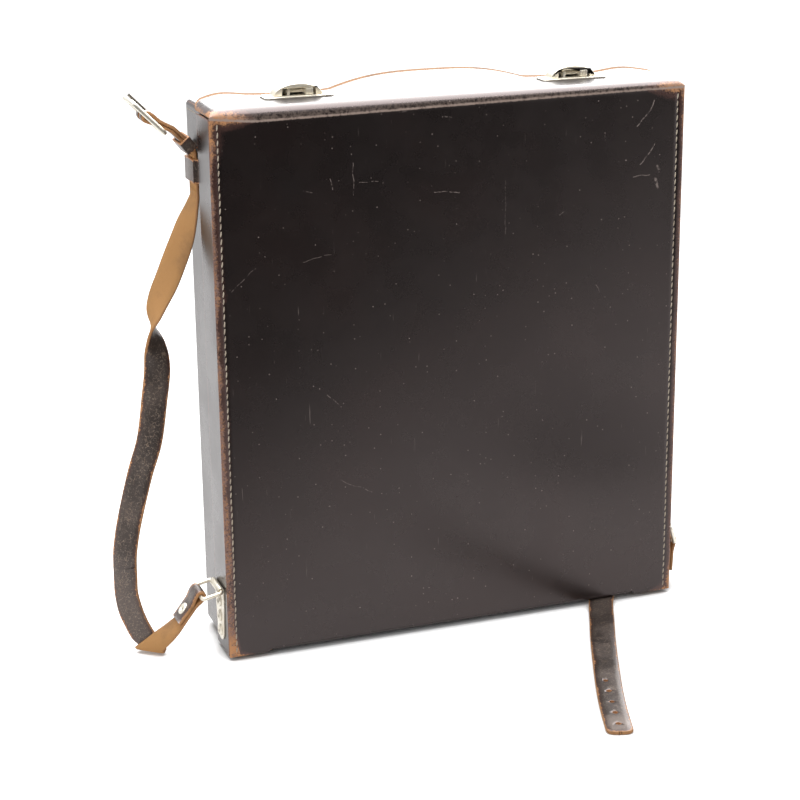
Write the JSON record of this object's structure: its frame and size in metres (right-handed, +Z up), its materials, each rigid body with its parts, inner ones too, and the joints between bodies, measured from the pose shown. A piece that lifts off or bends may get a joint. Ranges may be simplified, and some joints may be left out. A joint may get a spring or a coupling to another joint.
{
  "type": "camera case",
  "caption": "Upright flat leather camera case with a drop front, a top flap with sliding locks, side keepers and a buckled shoulder strap.",
  "frame": {"origin": "the middle of the front left foot's sole, on the floor", "axes": "+X to the case's right as seen from the front, +Y towards the back, +Z up; the drop front faces -Y"},
  "size_m": [0.4198, 0.2702, 0.393],
  "materials": {
    "hide": "near-black waxed hide, worn tan on its edges",
    "strap_leather": "dark brown grain with fine cracks, tan suede on the back and edges",
    "nickel": "dull worn nickel plate",
    "brass": "dull, dark in the hollows",
    "board": "plain millboard",
    "velvet": "short pile"
  },
  "bodies": {
    "box": {"base_board": "board", "top_board": "board", "side_board_left": "board", "side_board_right": "board", "back_board": "board", "base_skin": "hide", "top_skin": "hide", "side_skin_left": "hide", "side_skin_right": "hide", "back_skin": "hide", "box_lining": "velvet", "shelf": "velvet", "upper_divider": "velvet", "lower_divider_left": "velvet", "lower_divider_right": "velvet", "feet": "brass", "keeper_left": "strap_leather", "keeper_right": "strap_leather", "staple_left": "nickel", "staple_right": "nickel", "strap_left_high": "strap_leather", "strap_right_high": "strap_leather", "strap_tail": "strap_leather", "strap_end": "strap_leather", "strap_sleeve": "strap_leather", "buckle_frame": "nickel"},
    "cover": {"front_sheet": "hide", "cover_board": "board", "cover_lining": "velvet", "rim_left": "hide", "rim_right": "hide", "hinge_strip": "hide", "crease_strip": "hide", "lug_left": "nickel", "lug_right": "nickel", "lug_rivets_left": "nickel", "lug_rivets_right": "nickel"},
    "flap": {"flap": "hide", "lock_plate_left": "nickel", "lock_plate_right": "nickel", "lock_housing_left": "nickel", "lock_housing_right": "nickel", "lock_rivets": "nickel"},
    "button_left": {"lock_button_left": "nickel"},
    "button_right": {"lock_button_right": "nickel"},
    "ring_left": {"ring_left": "nickel", "strap_tab_left": "strap_leather", "tab_rivet_left": "nickel", "strap_left_low": "strap_leather"},
    "ring_right": {"ring_right": "nickel", "strap_tab_right": "strap_leather", "tab_rivet_right": "nickel", "strap_right_low": "strap_leather"},
    "prong": {"buckle_prong": "nickel"}
  },
  "joints": [
    {"name": "cover_hinge", "type": "hinge", "parent": "box", "child": "cover", "pos_m": [0.155, -0.013, 0.0045], "axis": [1, 0, 0], "range_deg": [0, 90], "deforming": ["hinge_strip", "strap_left_high", "strap_right_high"]},
    {"name": "flap_fold", "type": "hinge", "parent": "cover", "child": "flap", "pos_m": [0.155, -0.013, 0.378], "axis": [1, 0, 0], "range_deg": [0, 70], "deforming": ["crease_strip"]},
    {"name": "lock_slide_left", "type": "slide", "parent": "flap", "child": "button_left", "axis": [-1, 0, 0], "range_m": [0, 0.0046]},
    {"name": "lock_slide_right", "type": "slide", "parent": "flap", "child": "button_right", "axis": [-1, 0, 0], "range_m": [0, 0.0046]},
    {"name": "ring_swing_left", "type": "hinge", "parent": "cover", "child": "ring_left", "pos_m": [-0.01745, 0.005, 0.05], "axis": [0, 1, 0], "range_deg": [-30, 40], "deforming": ["strap_left_low"]},
    {"name": "ring_swing_right", "type": "hinge", "parent": "cover", "child": "ring_right", "pos_m": [0.32745, 0.005, 0.05], "axis": [0, 1, 0], "range_deg": [-25, 0], "deforming": ["strap_right_low"]},
    {"name": "prong_swing", "type": "hinge", "parent": "box", "child": "prong", "pos_m": [-0.0455, 0.035, 0.3758], "axis": [0, 1, 0], "range_deg": [0, 90]}
  ]
}
